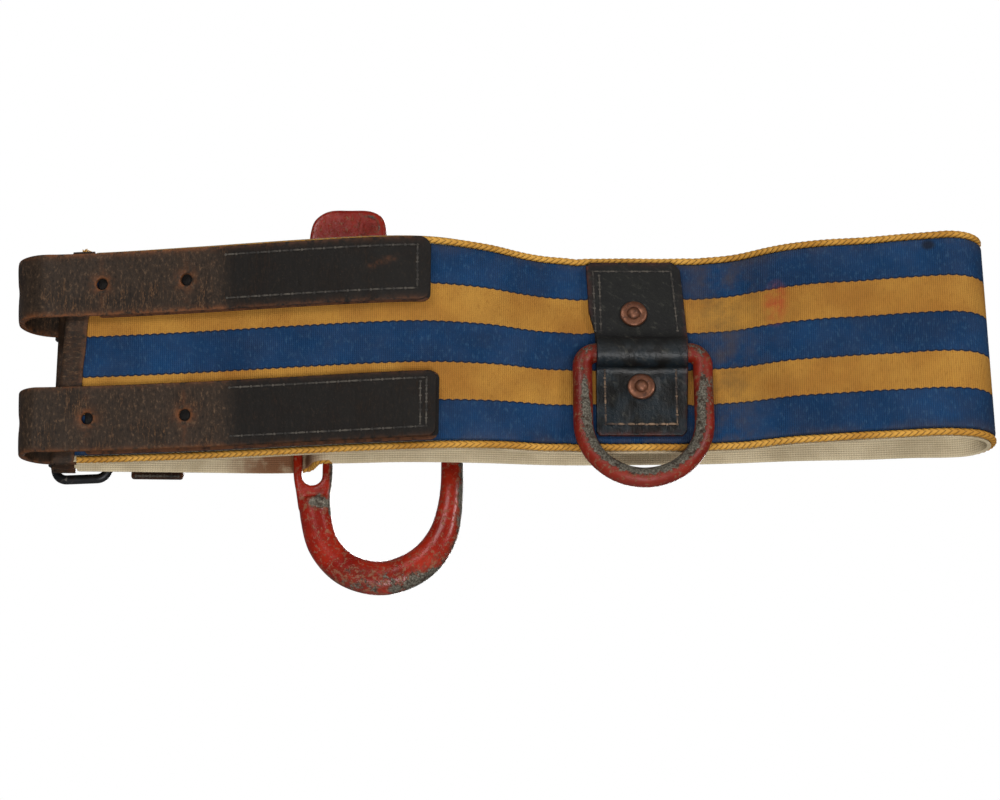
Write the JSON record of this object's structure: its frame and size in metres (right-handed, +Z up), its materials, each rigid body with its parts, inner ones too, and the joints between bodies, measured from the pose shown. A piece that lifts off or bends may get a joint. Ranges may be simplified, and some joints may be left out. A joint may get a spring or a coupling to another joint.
{
  "type": "firefighter safety belt",
  "caption": "Wide striped webbing safety belt, pressed flat in a closed loop, with two buckled leather straps, a riveted D-ring and a snap hook threaded on the webbing.",
  "frame": {"origin": "middle of the waist loop, at half the webbing's width", "axes": "upright as worn: +X along the pressed-flat belt to the fold without buckles, -Y the outer face of the front half, which carries the D-ring, +Z up"},
  "size_m": [0.4107, 0.0689, 0.1706],
  "materials": {
    "webbing": "woven cotton webbing, blue and gold stripes, worn",
    "lining": "thin off-white canvas",
    "edge_cord": "braided gold cord",
    "brown_leather": "worn brown-black leather, cracked",
    "black_leather": "stitched black leather, polished",
    "black_steel": "black japanned steel, satin",
    "red_paint": "red gloss paint chipped to steel",
    "copper": "tarnished copper",
    "spring_steel": "spring wire"
  },
  "bodies": {
    "belt": {"webbing_belt": "webbing", "inner_lining": "lining", "edge_cord_top": "edge_cord", "edge_cord_bottom": "edge_cord", "end_binding_front": "brown_leather", "end_binding_back": "brown_leather", "dring_tab": "black_leather", "tab_rivet_upper": "copper", "tab_rivet_lower": "copper", "tab_burr_upper": "copper", "tab_burr_lower": "copper", "strap_upper": "brown_leather", "strap_base_upper": "black_leather", "chape_upper": "black_leather", "keeper_upper": "black_leather", "strap_lower": "brown_leather", "strap_base_lower": "black_leather", "chape_lower": "black_leather", "keeper_lower": "black_leather"},
    "dring": {"dring": "red_paint"},
    "hook": {"hook_body": "red_paint", "gate_rivet": "red_paint", "gate_spring": "spring_steel"},
    "gate": {"hook_gate": "red_paint"},
    "buckle_frame_upper": {"buckle_frame_upper": "black_steel"},
    "buckle_roller_upper": {"buckle_roller_upper": "black_steel"},
    "buckle_prong_upper": {"buckle_prong_upper": "black_steel"},
    "buckle_frame_lower": {"buckle_frame_lower": "black_steel"},
    "buckle_roller_lower": {"buckle_roller_lower": "black_steel"},
    "buckle_prong_lower": {"buckle_prong_lower": "black_steel"}
  },
  "joints": [
    {"name": "dring_swing", "type": "hinge", "parent": "belt", "child": "dring", "pos_m": [0.05946, -0.00326, -0.00212], "axis": [-1, 0.0061, 0], "range_deg": [0, 150]},
    {"name": "hook_lift", "type": "slide", "parent": "belt", "child": "hook", "axis": [0, 0, 1], "range_m": [0, 0.0075]},
    {"name": "gate_hinge", "type": "hinge", "parent": "hook", "child": "gate", "pos_m": [-0.057, 0.022, 0.063], "axis": [0, 1, 0], "range_deg": [0, 30], "stiffness_Nm_per_rad": 0.05, "springref_deg": -20.05},
    {"name": "frame_tilt_upper", "type": "hinge", "parent": "belt", "child": "buckle_frame_upper", "pos_m": [-0.16671, 0.03277, 0.03], "axis": [0, 0, -1], "range_deg": [0, 4]},
    {"name": "roller_spin_upper", "type": "hinge", "parent": "buckle_frame_upper", "child": "buckle_roller_upper", "pos_m": [-0.18983, 0.036, 0.03], "axis": [0, 0, 1], "continuous": true},
    {"name": "prong_lift_upper", "type": "hinge", "parent": "buckle_frame_upper", "child": "buckle_prong_upper", "pos_m": [-0.16671, 0.03277, 0.03], "axis": [0, 0, -1], "range_deg": [0, 5]},
    {"name": "frame_tilt_lower", "type": "hinge", "parent": "belt", "child": "buckle_frame_lower", "pos_m": [-0.16671, 0.03277, -0.0267], "axis": [0, 0, -1], "range_deg": [0, 4]},
    {"name": "roller_spin_lower", "type": "hinge", "parent": "buckle_frame_lower", "child": "buckle_roller_lower", "pos_m": [-0.18983, 0.036, -0.0267], "axis": [0, 0, 1], "continuous": true},
    {"name": "prong_lift_lower", "type": "hinge", "parent": "buckle_frame_lower", "child": "buckle_prong_lower", "pos_m": [-0.16671, 0.03277, -0.0267], "axis": [0, 0, -1], "range_deg": [0, 5]}
  ]
}
